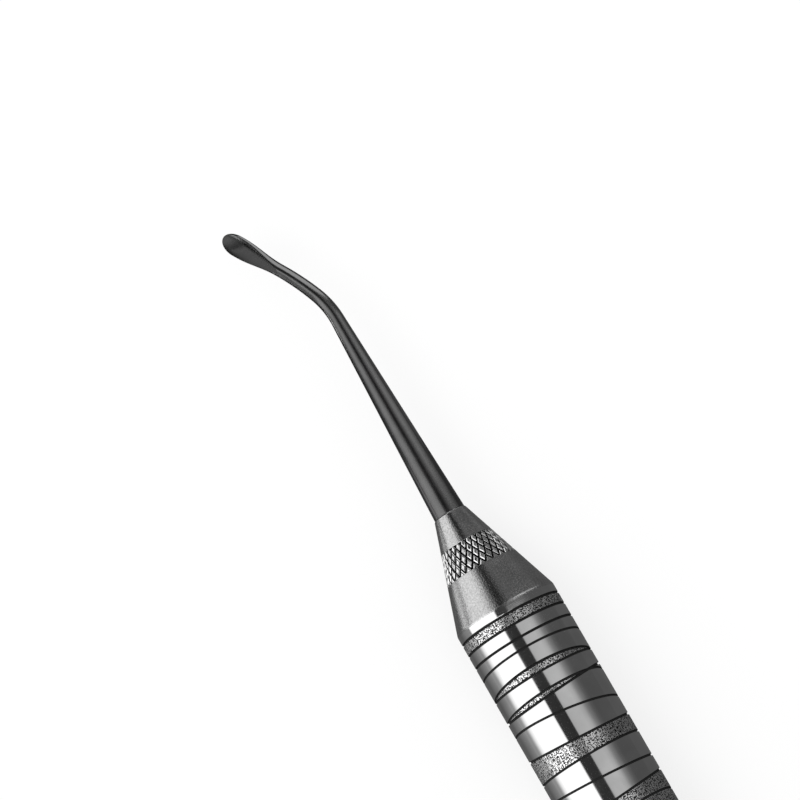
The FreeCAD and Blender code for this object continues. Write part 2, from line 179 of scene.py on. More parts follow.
class RASP_PG_finish(bpy.types.PropertyGroup):
    """Colours and roughness of the finishes"""
    polished: shade("Polished steel", "Bright fields of the handle and the collar", (0.62, 0.62, 0.62))
    satin: shade("Satin steel", "Cone", (0.5, 0.5, 0.5))
    knurl: shade("Knurl", "Diamonds of the knurled band", (0.8, 0.8, 0.8))
    stipple_high: shade("Stipple ground", "Raised ground of the stippled fields", (0.8, 0.8, 0.8))
    stipple_low: shade("Stipple pits", "Pits of the stippled fields", (0.03, 0.03, 0.03))
    # The engraving colour is also the black of the painted shade deep in the knurl's grooves.
    engraving: shade("Engraving", "Black floor of the grooves", (0.012, 0.012, 0.012))
    coating: shade("Black coating", "Shank, neck and back of the blade", (0.13, 0.13, 0.13))
    ground: shade("Ground face", "Hollow face of the blade", (0.052, 0.052, 0.052))
    polished_roughness: share("Polished roughness", "Bright fields", 0.09)
    satin_roughness: share("Satin roughness", "Cone", 0.16)
    coating_roughness: share("Coating roughness", "Shank and neck", 0.2)


class RASP_PG_studio(bpy.types.PropertyGroup):
    """Camera and light"""
    aim: FloatVectorProperty(name="Aim", description="Point in the middle of the picture", size=3,
                             default=(0.06262, -0.00127, 0.005), subtype="TRANSLATION")
    lens: FloatProperty(name="Lens", description="Focal length in millimetres", default=300.0)
    scale: FloatProperty(name="Scale", description="Pixels of the photograph to a millimetre", default=10.947)
    lean: angle("Lean", "Camera leans towards the butt", 9.5)
    roll: angle("Roll", "Handle's axis to the picture's upright, tip to the left", 30.0)
    world: FloatProperty(name="World", description="Strength of the white surroundings", default=0.92)
    key: FloatProperty(name="Key", description="Power of the soft lamp in watts", default=1.6)


def sizes(name):
    """The settings of a group, its lengths in millimetres."""
    group = getattr(bpy.context.scene, "rasp_" + name)
    found = {}
    for key in group.__annotations__:
        setting = getattr(group, key)
        found[key] = setting / MM if group.bl_rna.properties[key].unit == "LENGTH" else setting
    return SimpleNamespace(**found)


# Shader building. Nearly all of a noise lies in its span.
NOISE_SPAN = (0.35, 0.65)


def feed(tree, made, inputs):
    """Give a node's inputs their values, or a link where the source is a socket."""
    for key, source in inputs.items():
        if isinstance(source, bpy.types.NodeSocket):
            tree.links.new(source, made.inputs[key])
        else:
            made.inputs[key].default_value = source


def node(tree, kind, inputs=None, **settings):
    """A node with its settings and its unlinked or linked inputs."""
    made = tree.nodes.new(kind)
    for key, setting in settings.items():
        setattr(made, key, setting)
    feed(tree, made, inputs or {})
    return made


def calc(tree, operation, first, second=0.0):
    """The result of one operation on two values."""
    return node(tree, "ShaderNodeMath", {0: first, 1: second}, operation=operation).outputs[0]


def object_place(tree):
    """The point on the object, in its own coordinates."""
    return node(tree, "ShaderNodeTexCoord").outputs["Object"]


def noise(tree, place, scale, **more):
    """Noise about 0.5."""
    return node(tree, "ShaderNodeTexNoise", {"Vector": place, "Scale": scale, **more}).outputs["Fac"]


def bump(tree, height, strength, distance, **more):
    """A normal bent by a height, which is worth the distance in metres."""
    return node(tree, "ShaderNodeBump", {
        "Strength": strength, "Distance": distance, "Height": height, **more}).outputs["Normal"]


def ramp_between(tree, mask, low, high, start=0.0, stop=1.0):
    """A value that runs from low to high while the mask runs from start to stop."""
    return node(tree, "ShaderNodeMapRange", {
        "Value": mask, "From Min": start, "From Max": stop, "To Min": low, "To Max": high}).outputs["Result"]


def tint_between(tree, mask, low, high):
    """A colour that runs from low to high with a mask. Each end is a colour or a socket."""
    ends = [end if isinstance(end, bpy.types.NodeSocket) else (*end, 1.0) for end in (low, high)]
    return node(tree, "ShaderNodeMix", {0: mask, 6: ends[0], 7: ends[1]},
                data_type="RGBA", clamp_factor=True).outputs[2]


def scaled(colour, factor):
    return tuple(min(1.0, channel * factor) for channel in colour)


def shader_group(name, inputs, outputs):
    """An empty shader group, its inputs as sockets and its output node. A socket called Normal is a
    vector, the others are values."""
    tree = bpy.data.node_groups.new(name, "ShaderNodeTree")

    def add(label, side):
        kind = "NodeSocketVector" if label == "Normal" else "NodeSocketFloat"
        return tree.interface.new_socket(label, in_out=side, socket_type=kind)

    for label, default in inputs.items():
        socket = add(label, "INPUT")
        if default is not None:
            socket.default_value = default
    for label in outputs:
        add(label, "OUTPUT")
    return tree, tree.nodes.new("NodeGroupInput").outputs, tree.nodes.new("NodeGroupOutput")


def grain_group(name):
    """Fine even grain, as bead blasting leaves it."""
    tree, start, end = shader_group(name, {"Scale": 9000.0, "Depth": 0.2, "Normal": None},
                                    ("Mask", "Normal"))
    mask = noise(tree, object_place(tree), start["Scale"], Detail=3.0, Roughness=0.6)
    normal = bump(tree, mask, start["Depth"], 0.00004, Normal=start["Normal"])
    feed(tree, end, {"Mask": mask, "Normal": normal})
    return tree


def turning_group(name):
    """Fine lines round the axis, as turning and polishing on a lathe leave them."""
    tree, start, end = shader_group(name, {"Scale": 12000.0, "Depth": 0.1}, ("Mask", "Normal"))
    stretched = node(tree, "ShaderNodeMapping", {
        "Vector": object_place(tree), "Scale": (1.0, 0.02, 0.02)}).outputs["Vector"]
    mask = noise(tree, stretched, start["Scale"], Detail=2.0)
    feed(tree, end, {"Mask": mask, "Normal": bump(tree, mask, start["Depth"], 0.00001)})
    return tree


def handling_group(name):
    """Broad faint marks of handling and cleaning, from 0 to 1."""
    tree, start, end = shader_group(name, {"Scale": 350.0}, ("Mask",))
    mask = noise(tree, object_place(tree), start["Scale"], Detail=6.0, Distortion=0.6)
    feed(tree, end, {"Mask": ramp_between(tree, mask, 0.0, 1.0, *NOISE_SPAN)})
    return tree


def depth_group(name):
    """Depth under the cone's surface in metres, measured square to its axis."""
    tree, start, end = shader_group(name, {"Nose": 0.0, "Nose Radius": 0.0, "Slope": 0.0}, ("Depth",))
    parts = node(tree, "ShaderNodeSeparateXYZ", {0: object_place(tree)}).outputs
    height = calc(tree, "SUBTRACT", parts["Z"], AXIS_HEIGHT * MM)
    squares = [calc(tree, "MULTIPLY", part, part) for part in (parts["Y"], height)]
    across = calc(tree, "SQRT", calc(tree, "ADD", *squares))
    behind = calc(tree, "SUBTRACT", start["Nose"], parts["X"])
    skin = calc(tree, "ADD", start["Nose Radius"], calc(tree, "MULTIPLY", behind, start["Slope"]))
    feed(tree, end, {"Depth": calc(tree, "SUBTRACT", skin, across)})
    return tree


EFFECTS = {"fine_grain": grain_group, "turning_lines": turning_group, "handling_marks": handling_group,
           "depth_under_cone": depth_group}


def effect(tree, name, inputs):
    """The outputs of one of the shared effects, placed in a material."""
    group = bpy.data.node_groups.get(name) or EFFECTS[name](name)
    return node(tree, "ShaderNodeGroup", inputs, node_tree=group).outputs


def shared(maker):
    """A material's maker that builds it once. The material is named like its maker."""
    def fetch():
        return bpy.data.materials.get(maker.__name__) or maker(maker.__name__, sizes("finish"))
    return fetch


def new_material(name):
    """A new material with its tree and its surface shader."""
    material = bpy.data.materials.new(name)
    material.use_nodes = True
    return material, material.node_tree, material.node_tree.nodes["Principled BSDF"]


def steel(name, colour, roughness, spread, grain=None, turning=None, marks=350.0, mottle=0.0):
    """A bare or coated metal with its handling marks. Grain and turning lines are given by their scale
    and depth, and mottle is how much the grain varies the colour."""
    material, tree, surface = new_material(name)
    handled = effect(tree, "handling_marks", {"Scale": marks})["Mask"]
    tint = tint_between(tree, handled, scaled(colour, 0.94), scaled(colour, 1.05))
    normal = {}
    if turning:
        lines = effect(tree, "turning_lines", {"Scale": turning[0], "Depth": turning[1]})
        normal = {"Normal": lines["Normal"]}
    if grain:
        grains = effect(tree, "fine_grain", {"Scale": grain[0], "Depth": grain[1], **normal})
        normal = {"Normal": grains["Normal"]}
        if mottle:
            speck = ramp_between(tree, grains["Mask"], 1 - mottle, 1 + mottle, *NOISE_SPAN)
            tint = node(tree, "ShaderNodeMix", {0: 1.0, 6: tint, 7: speck},
                        data_type="RGBA", blend_type="MULTIPLY").outputs[2]
    feed(tree, surface, {
        "Metallic": 1.0, "Base Color": tint,
        "Roughness": ramp_between(tree, handled, roughness - spread, roughness + spread), **normal})
    return material


@shared
def polished_steel(name, finish):
    return steel(name, finish.polished, finish.polished_roughness, 0.02, turning=(14000.0, 0.12))


@shared
def blasted_satin(name, finish):
    return steel(name, finish.satin, finish.satin_roughness, 0.03,
                 grain=(6200.0, 0.5), turning=(9000.0, 0.1), mottle=0.18)


@shared
def turned_plug(name, finish):
    return steel(name, finish.polished, 0.2, 0.03, turning=(7000.0, 0.25))


@shared
def black_coating(name, finish):
    return steel(name, finish.coating, finish.coating_roughness, 0.03, grain=(9000.0, 0.12), marks=600.0)


@shared
def ground_face(name, finish):
    return steel(name, finish.ground, 0.24, 0.03, grain=(9000.0, 0.15), marks=900.0)


# Depths at which the painted shade in the knurl's grooves is wholly black and wholly gone, as shares of a
# diamond's height.
KNURL_SHADE_DEPTHS = (0.36, 0.2)


@shared
def knurl_steel(name, finish):
    """Bright crowns of the diamonds, with painted shade that turns them black down in the grooves."""
    cone = sizes("cone")
    material = steel(name, finish.knurl, 0.16, 0.03, grain=(12000.0, 0.05))
    tree = material.node_tree
    surface = tree.nodes["Principled BSDF"]
    depth = effect(tree, "depth_under_cone", {
        "Nose": (NOSE - cone.nose_chamfer) * MM, "Nose Radius": cone.nose_diameter / 2 * MM,
        "Slope": cone_slope(cone)})["Depth"]
    # Painted shade: the colour goes to black with the depth under the cone's surface.
    crown = ramp_between(tree, depth, 0.0, 1.0, *(part * cone.knurl_depth * MM for part in KNURL_SHADE_DEPTHS))
    bright = surface.inputs["Base Color"].links[0].from_socket
    # Squared, so that the painted shade fades late on a flank.
    crown = calc(tree, "MULTIPLY", crown, crown)
    feed(tree, surface, {"Base Color": tint_between(tree, crown, finish.engraving, bright)})
    return material


@shared
def stippled_steel(name, finish):
    """Etched steel: bright ground with dark pits and short worms between them."""
    material, tree, surface = new_material(name)
    spots = noise(tree, object_place(tree), 8300.0, Detail=1.2, Roughness=0.45, Distortion=0.5)
    pits = ramp_between(tree, spots, 0.0, 1.0, 0.45, 0.52)
    grains = effect(tree, "fine_grain", {
        "Scale": 9000.0, "Depth": 0.15, "Normal": bump(tree, pits, 0.6, 0.00005)})
    feed(tree, surface, {
        "Metallic": 1.0, "Base Color": tint_between(tree, pits, finish.stipple_low, finish.stipple_high),
        "Roughness": ramp_between(tree, pits, 0.5, 0.24), "Normal": grains["Normal"]})
    return material


@shared
def engraving_black_and_knurl_shade(name, finish):
    """Blackened floor and walls of the grooves, and painted shade on the floor and walls of the recess under
    the knurl.
    """
    material, tree, surface = new_material(name)
    grains = effect(tree, "fine_grain", {"Scale": 8000.0, "Depth": 0.25})
    feed(tree, surface, {
        "Base Color": tint_between(tree, grains["Mask"], scaled(finish.engraving, 0.5),
                                   scaled(finish.engraving, 2.0)),
        "Roughness": ramp_between(tree, grains["Mask"], 0.55, 0.85),
        "Specular IOR Level": 0.25, "Normal": grains["Normal"]})
    return material


# Mesh building.

def add_object(name, data):
    """A new object in the scene."""
    made = bpy.data.objects.new(name, data)
    bpy.context.scene.collection.objects.link(made)
    return made


def mesh_from(bm, name):
    """A finished mesh; the working copy is freed."""
    mesh = bpy.data.meshes.new(name)
    bm.to_mesh(mesh)
    bm.free()
    return mesh


def working_copy(mesh):
    """A working copy in the mesh's place."""
    bm = bmesh.new()
    bm.from_mesh(mesh)
    bpy.data.meshes.remove(mesh)
    return bm


def applied(holder):
    """The plain mesh that an object's modifiers make. The object goes."""
    graph = bpy.context.evaluated_depsgraph_get()
    mesh = bpy.data.meshes.new_from_object(holder.evaluated_get(graph))
    bpy.data.objects.remove(holder)
    return mesh


def add_piece(name, bm, materials, node_name, shift=0.0):
    """A finished piece: stored in metres in the shared frame, smooth but for its sharp edges."""
    lift = Matrix.Translation((shift, 0.0, AXIS_HEIGHT))
    bmesh.ops.transform(bm, matrix=Matrix.Scale(MM, 4) @ lift, verts=bm.verts)
    mesh = mesh_from(bm, name)
    mesh.shade_smooth()
    mesh.set_sharp_from_angle(angle=SMOOTH_ANGLE)
    for material in materials:
        mesh.materials.append(material)
    piece = add_object(name, mesh)
    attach(piece, "root")
    if node_name:
        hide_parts(node_name)


def ring(bm, x, radius, segments):
    """Vertices of one circle about the axis, or one vertex on the axis."""
    if not radius:
        return [bm.verts.new((x, 0.0, 0.0))]
    turns = [2 * math.pi * i / segments for i in range(segments)]
    return [bm.verts.new((x, -radius * math.sin(turn), radius * math.cos(turn))) for turn in turns]


def skin_between(bm, rear, front, material=0):
    """Outward faces between two rings, either of which may be a point."""
    count = max(len(rear), len(front))
    for i in range(count):
        j = (i + 1) % count
        corners = (rear[i % len(rear)], rear[j % len(rear)], front[j % len(front)], front[i % len(front)])
        bm.faces.new(list(dict.fromkeys(corners))).material_index = material


def skin_along(bm, rings):
    """Outward faces along a row of rings."""
    for rear, front in zip(rings, rings[1:]):
        skin_between(bm, rear, front)


def revolve(profile, segments, closed=False):
    """A body turned about the axis. Each profile point has a station, a radius and a material."""
    bm = bmesh.new()
    rings = [ring(bm, x, radius, segments) for x, radius, material in profile]
    for i in range(len(profile) - 1):
        skin_between(bm, rings[i], rings[i + 1], profile[i][2])
    if closed:
        skin_between(bm, rings[-1], rings[0], profile[-1][2])
    bm.normal_update()
    return bm


def handle_grooves(handle):
    """Every engraved groove as its plane's centre and normal, its half width and its depth."""
    grooves = []

    def add(distance, tilt, turn, width, depth):
        lean = Quaternion((0.0, math.cos(turn), math.sin(turn)), tilt)
        centre = Vector((TUBE_FRONT - distance, 0.0, 0.0))
        grooves.append((centre, lean @ Vector((1.0, 0.0, 0.0)), width / 2, depth))

    main = (handle.groove_width, handle.groove_depth)
    add(handle.first_ring, 0.0, 0.0, *main)
    add(handle.second_ring, 0.0, 0.0, *main)
    add(TUBE_FRONT - TUBE_REAR - handle.rear_land - handle.rear_groove / 2, 0.0, 0.0,
        handle.rear_groove, handle.groove_depth)
    turn = 0.0
    for pair in range(handle.pair_count):
        distance = handle.pair_start + pair * handle.pair_pitch
        for tilt in (handle.steep_tilt, handle.cross_tilt):
            add(distance, tilt, turn, *main)
            distance += handle.cross_offset
            turn += handle.turn_step
    # The fine lines lean and turn in steps that don't repeat along the handle.
    lean_step, first_lean, fine_turn = 2.4, 0.7, 1.7
    for i in range(handle.fine_count):
        tilt = handle.fine_tilt * math.sin(lean_step * i + first_lean)
        add(handle.fine_start + i * handle.fine_pitch, tilt, fine_turn * i,
            handle.fine_width, handle.fine_depth)
    return grooves


# Fields between two grooves, counted back from the front: 1 is stippled, 0 is polished.
FIELD_ORDER = (1, 0, 0, 0, 1, 0, 1, 0, 0, 1, 0, 0, 1)
GROOVE_MATERIAL = 2
# A groove's sloping wall as a share of its half width.
WALL_SHARE = 0.35
# Less than this deep, in millimetres, isn't a groove.
LEAST_DEPTH = 1e-3
# How far along the axis from its centre a leaning groove may reach, beyond the handle's radius.
LEAN_REACH = 2.0


def engrave(bm, radius, grooves):
    """Cut the skin along every groove's edges and sink what lies between them."""
    reach = radius + LEAN_REACH
    for centre, normal, half, depth in grooves:
        for offset in (-half, -half * (1 - WALL_SHARE), half * (1 - WALL_SHARE), half):
            parts = {}
            for face in bm.faces:
                stations = [v.co.x for v in face.verts]
                if (abs(face.calc_center_median().x - centre.x) < reach
                        or max(stations) - min(stations) > reach):
                    parts.update(dict.fromkeys((face, *face.verts, *face.edges)))
            bmesh.ops.bisect_plane(bm, geom=list(parts), dist=CUT_TOLERANCE,
                                   plane_co=centre + normal * offset, plane_no=normal)

    def sink(point):
        deepest = 0.0
        for centre, normal, half, depth in grooves:
            away = abs((point - centre).dot(normal))
            if away < half:
                deepest = max(deepest, depth * min(1.0, (half - away) / (half * WALL_SHARE)))
        return deepest

    for face in bm.faces:
        middle = face.calc_center_median()
        ahead = sum((middle - centre).dot(normal) < 0 for centre, normal, half, depth in grooves)
        if sink(middle) > LEAST_DEPTH:
            face.material_index = GROOVE_MATERIAL
        elif ahead < len(grooves):
            face.material_index = FIELD_ORDER[ahead % len(FIELD_ORDER)]
        else:
            face.material_index = 0
    moves = [(vertex, sink(vertex.co)) for vertex in bm.verts]
    for vertex, depth in moves:
        to_radius(vertex, vertex.co.x, radius - depth)


def to_radius(vertex, x, radius):
    """Move a vertex to a station and a radius, without turning it about the axis."""
    around = Vector((0.0, vertex.co.y, vertex.co.z)).normalized() * radius
    vertex.co = Vector((x, around.y, around.z))


class RASP_OT_handle(bpy.types.Operator):
    """Engraved hollow handle"""
    bl_idname = "rasp.handle"
    bl_label = "Engraved handle"

    def execute(self, context):
        handle = sizes("handle")
        radius = handle.diameter / 2
        bm = revolve([(TUBE_REAR, radius, 0), (TUBE_FRONT, radius, 0)], HANDLE_SEGMENTS)
        engrave(bm, radius, handle_grooves(handle))
        loops = []
        for station in (TUBE_REAR, TUBE_FRONT):
            rim = [e for e in bm.edges
                   if e.is_boundary and all(abs(v.co.x - station) < RIM_TOLERANCE for v in e.verts)]
            for part in bmesh.ops.extrude_edge_only(bm, edges=rim)["geom"]:
                if isinstance(part, bmesh.types.BMVert):
                    to_radius(part, station, handle.bore / 2)
                elif isinstance(part, bmesh.types.BMFace):
                    part.material_index = GROOVE_MATERIAL
                elif part.is_boundary:
                    loops.append(part)
        bmesh.ops.bridge_loops(bm, edges=loops)
        bmesh.ops.recalc_face_normals(bm, faces=bm.faces)
        add_piece("engraved_handle", bm, [polished_steel(), stippled_steel(), engraving_black_and_knurl_shade()],
                  "handle_tube")
        return {"FINISHED"}


class RASP_OT_plug(bpy.types.Operator):
    """Plain rear end plug with a bevelled butt"""
    bl_idname = "rasp.plug"
    bl_label = "End plug"

    def execute(self, context):
        handle = sizes("handle")
        radius = handle.diameter / 2
        bevel = handle.plug_chamfer
        floor = radius - handle.seam_depth
        relief = TUBE_REAR - handle.rear_groove
        spigot = handle.bore / 2 - CLEARANCE
        soft = 0.08
        lip = 0.04
        profile = [
            (BUTT, 0.0, 0),
            (BUTT, radius - bevel - soft, 0),
            (BUTT + soft * 0.6, radius - bevel + soft * 0.2, 0),
            (BUTT + bevel - soft * 0.2, radius - soft * 0.6, 0),
            (BUTT + bevel + soft, radius, 0),
            (relief - lip, radius, 0),
            (relief, radius - lip, 1),
            (relief, floor, 1),
            (TUBE_REAR, floor, 1),
            (TUBE_REAR, spigot, 0),
            (TUBE_REAR + SPIGOT_LENGTH, spigot, 0),
            (TUBE_REAR + SPIGOT_LENGTH, 0.0, 0),
        ]
        bm = revolve(profile, HANDLE_SEGMENTS)
        add_piece("end_closure", bm, [turned_plug(), engraving_black_and_knurl_shade()], "end_plug")
        return {"FINISHED"}


def cone_slope(cone):
    """How fast the cone's radius falls along the axis."""
    return (sizes("handle").diameter - cone.nose_diameter) / 2 / (cone.length - cone.nose_chamfer)


class RASP_OT_cone(bpy.types.Operator):
    """Satin nose cone with its collar and seam"""
    bl_idname = "rasp.cone"
    bl_label = "Nose cone"

    def execute(self, context):
        cone = sizes("cone")
        handle = sizes("handle")
        radius = handle.diameter / 2
        slope = cone_slope(cone)
        shoulder = NOSE - cone.length
        collar = shoulder - cone.collar
        seam = collar - cone.seam_width
        floor = radius - handle.seam_depth
        spigot = handle.bore / 2 - CLEARANCE
        tang = sizes("blade").tang_diameter / 2 + CLEARANCE
        nose = cone.nose_diameter / 2
        edge = 0.03
        profile = [
            (seam - SPIGOT_LENGTH, tang, 0),
            (seam - SPIGOT_LENGTH, spigot, 0),
            (seam, spigot, 2),
            (seam, floor, 2),
            (collar, floor, 2),
            (collar, radius - edge, 1),
            (collar + edge, radius, 1),
        ]

        # The shoulder is an arc between the collar and the cone, with a narrow strip on either side.
        turn = math.atan(slope)
        reach = cone.shoulder_round * math.tan(turn / 2)
        strip = 0.06
        profile.append((shoulder - reach - strip, radius, 0))
        for i in range(SHOULDER_STEPS + 1):
            now = turn * i / SHOULDER_STEPS
            profile.append((shoulder - reach + cone.shoulder_round * math.sin(now),
                            radius - cone.shoulder_round * (1 - math.cos(now)), 0))

        def on_cone(distance, under=0.0, material=0):
            profile.append((shoulder + distance, radius - slope * distance - under, material))

        on_cone(reach * math.cos(turn) + strip)
        start = cone.knurl_start
        end = start + cone.knurl_width
        recess = cone.knurl_depth + edge
        on_cone(start - edge)
        # The recess under the knurl takes the groove black: painted shade between the diamonds.
        on_cone(start, edge, 2)
        on_cone(start, recess, 2)
        on_cone(end, recess, 2)
        on_cone(end, edge)
        on_cone(end + edge)
        profile += [(NOSE - cone.nose_chamfer, nose, 1), (NOSE, nose - cone.nose_chamfer, 2), (NOSE, tang, 2)]
        bm = revolve(profile, CONE_SEGMENTS, closed=True)
        materials = [blasted_satin(), polished_steel(), engraving_black_and_knurl_shade()]
        add_piece("nose_cone", bm, materials, "front_cone")
        return {"FINISHED"}


# A diamond of the knurl, from its foot up. A tier has its rise as a share of the diamond's height, and
# its width as a share of the tier below. The flat top closes it.
KNURL_TIERS = ((0.62, 0.97), (0.2, 0.82), (0.11, 0.76))
KNURL_TOP_RISE = 0.07
# Half a diamond's foot, where the next diamond is 1 away.
KNURL_FOOT = 0.44


def knurl_tree():
    """Rows of cut diamonds in a flat lattice, wrapped round a cone about the X axis."""
    tree = bpy.data.node_groups.new("knurl_band", "GeometryNodeTree")
    tree.interface.new_socket("Geometry", in_out="OUTPUT", socket_type="NodeSocketGeometry")
    for label, kind, default in (
            ("Count", "NodeSocketInt", 30), ("Rows", "NodeSocketInt", 6),
            ("Pitch", "NodeSocketFloat", 1.3), ("Depth", "NodeSocketFloat", 0.3),
            ("Flat", "NodeSocketFloat", 0.7), ("Radius", "NodeSocketFloat", 3.5),
            ("Slope", "NodeSocketFloat", 0.33), ("Material", "NodeSocketMaterial", None)):
        socket = tree.interface.new_socket(label, in_out="INPUT", socket_type=kind)
        if default is not None:
            socket.default_value = default
    start = tree.nodes.new("NodeGroupInput").outputs
    end = tree.nodes.new("NodeGroupOutput")

    def step(operation, first, second=0.0):
        return calc(tree, operation, first, second)

    def split_place():
        place = node(tree, "GeometryNodeInputPosition").outputs[0]
        return node(tree, "ShaderNodeSeparateXYZ", {0: place}).outputs

    def set_place(geometry, place):
        joined = node(tree, "ShaderNodeCombineXYZ", place).outputs[0]
        moved = node(tree, "GeometryNodeSetPosition", {"Geometry": geometry, "Position": joined})
        return moved.outputs["Geometry"]

    # Points of the lattice, every other row moved on by half a diamond.
    half_rows = step("MULTIPLY", step("SUBTRACT", start["Rows"], 1.0), 0.5)
    lattice = node(tree, "GeometryNodeMeshGrid", {
        "Size X": step("SUBTRACT", start["Count"], 1.0), "Size Y": half_rows,
        "Vertices X": start["Count"], "Vertices Y": start["Rows"]}).outputs["Mesh"]
    parts = split_place()
    from_first = step("ADD", parts["Y"], step("MULTIPLY", half_rows, 0.5))
    row = step("ROUND", step("MULTIPLY", from_first, 2.0))
    odd = step("MULTIPLY", step("MODULO", row, 2.0), 0.5)
    staggered = set_place(lattice, {"X": step("ADD", parts["X"], odd), "Y": from_first})

    # One diamond, raised in tiers.
    diamond = node(tree, "GeometryNodeMeshCircle", {"Vertices": 4, "Radius": KNURL_FOOT},
                   fill_type="NGON").outputs["Mesh"]
    chosen = {}
    for rise, narrowing in (*KNURL_TIERS, (KNURL_TOP_RISE, start["Flat"])):
        raised = node(tree, "GeometryNodeExtrudeMesh", {
            "Mesh": diamond, "Offset Scale": step("MULTIPLY", start["Depth"], rise), **chosen}, mode="FACES")
        chosen = {"Selection": raised.outputs["Top"]}
        diamond = node(tree, "GeometryNodeScaleElements", {
            "Geometry": raised.outputs["Mesh"], "Scale": narrowing, **chosen}).outputs["Geometry"]
    spread = node(tree, "GeometryNodeInstanceOnPoints", {"Points": staggered, "Instance": diamond})
    real = node(tree, "GeometryNodeRealizeInstances", {"Geometry": spread.outputs["Instances"]})

    # Flat places become a turn about the axis, a station along it and a height over the groove floor.
    flat = split_place()
    turn = step("MULTIPLY", step("DIVIDE", flat["X"], start["Count"]), 2 * math.pi)
    along = step("MULTIPLY", flat["Y"], start["Pitch"])
    surface = step("SUBTRACT", start["Radius"], step("MULTIPLY", along, start["Slope"]))
    lifted = step("ADD", step("SUBTRACT", surface, start["Depth"]), flat["Z"])
    shaped = set_place(real.outputs["Geometry"], {
        "X": along, "Y": step("MULTIPLY", step("MULTIPLY", lifted, -1.0), step("SINE", turn)),
        "Z": step("MULTIPLY", lifted, step("COSINE", turn))})
    dressed = node(tree, "GeometryNodeSetMaterial", {"Geometry": shaped, "Material": start["Material"]})
    feed(tree, end, {"Geometry": dressed.outputs["Geometry"]})
    return tree


def from_nodes(tree, inputs):
    """The plain mesh that a geometry tree makes with the given inputs."""
    holder = add_object("holder", bpy.data.meshes.new("holder"))
    modifier = holder.modifiers.new("nodes", "NODES")
    modifier.node_group = tree
    identifiers = {item.name: item.identifier for item in tree.interface.items_tree
                   if item.in_out == "INPUT"}
    for label, setting in inputs.items():
        modifier[identifiers[label]] = setting
    return applied(holder)


class RASP_OT_knurl(bpy.types.Operator):
    """Knurled band: cut diamonds between two hands of grooves"""
    bl_idname = "rasp.knurl"
    bl_label = "Knurled band"

    def execute(self, context):
        cone = sizes("cone")
        slope = cone_slope(cone)
        mesh = from_nodes(knurl_tree(), {
            "Count": cone.knurl_count, "Rows": 2 * math.ceil(cone.knurl_width / cone.knurl_pitch) + 1,
            "Pitch": cone.knurl_pitch, "Depth": cone.knurl_depth, "Flat": cone.knurl_flat, "Slope": slope,
            "Radius": sizes("handle").diameter / 2 - slope * cone.knurl_start, "Material": knurl_steel()})
        if not mesh.polygons:
            raise RuntimeError("the knurled band is empty")
        bm = working_copy(mesh)
        for station, side in ((0.0, -1.0), (cone.knurl_width, 1.0)):
            bmesh.ops.bisect_plane(bm, geom=bm.verts[:] + bm.edges[:] + bm.faces[:], dist=CUT_TOLERANCE,
                                   plane_co=(station, 0.0, 0.0), plane_no=(side, 0.0, 0.0), clear_outer=True)
        bmesh.ops.holes_fill(bm, edges=[e for e in bm.edges if e.is_boundary], sides=0)
        add_piece("knurled_band", bm, [knurl_steel()], None,
                  NOSE - cone.length + cone.knurl_start)
        return {"FINISHED"}


def level_axes(heading):
    """Ahead and to the side, level, for a heading away from the handle's axis."""
    return (Vector((math.cos(heading), math.sin(heading), 0.0)),
            Vector((-math.sin(heading), math.cos(heading), 0.0)))


def blade_axes(blade, heading):
    """Length, width and face directions of the rolled blade."""
    ahead, side = level_axes(heading)
    up = Vector((0.0, 0.0, 1.0))
    across = side * math.cos(blade.roll) - up * math.sin(blade.roll)
    face = side * math.sin(blade.roll) + up * math.cos(blade.roll)
    return ahead, across, face


def blade_stations(blade):
    """Centre, heading, half width and half height along the shank, the bends and the blade, with the
    place and heading at the end of the bends, and the tip."""
    stations = []
    root = blade.shank_diameter / 2
    neck = blade.neck_diameter / 2
    throat = blade.throat_diameter / 2
    for i in range(SHANK_STEPS + 1):
        part = i / SHANK_STEPS
        radius = root + (neck - root) * part
        place = Vector((blade.shank_length * part, 0.0, 0.0))
        stations.append((place, 0.0, radius, radius))
    heading = 0.0
    bends = ((blade.first_bend, blade.first_angle, FIRST_BEND_STEPS),
             (blade.second_bend, blade.second_angle, SECOND_BEND_STEPS))
    whole = sum(bend * turn for bend, turn, steps in bends)
    passed = 0.0
    for bend, turn, steps in bends:
        centre = place + level_axes(heading)[1] * bend
        for i in range(1, steps + 1):
            now = heading + turn * i / steps
            place = centre - level_axes(now)[1] * bend
            radius = neck + (throat - neck) * (passed + bend * turn * i / steps) / whole
            stations.append((place, now, radius, radius))
        heading += turn
        passed += bend * turn

    ahead = level_axes(heading)[0]
    half_width = blade.width / 2
    half_height = blade.thickness / 2

    def add(distance, wide, high):
        stations.append((place + ahead * distance, heading, wide, high))

    for i in range(FLARE_STEPS + 1):
        part = i / FLARE_STEPS
        ease = part * part * (3 - 2 * part)
        add(blade.flare_start + blade.flare_length * part, throat + (half_width - throat) * ease,
            throat + (half_height - throat) * ease)
    tip_start = blade.flare_start + blade.flare_length + blade.waist_length
    tip = blade.tip_length
    add(tip_start, half_width, half_height)
    for i in range(1, TIP_STEPS):
        turn = math.pi / 2 * i / TIP_STEPS
        add(tip_start + tip * math.sin(turn), half_width * math.cos(turn), half_height * math.cos(turn))
    return stations, place, heading, place + ahead * (tip_start + tip)


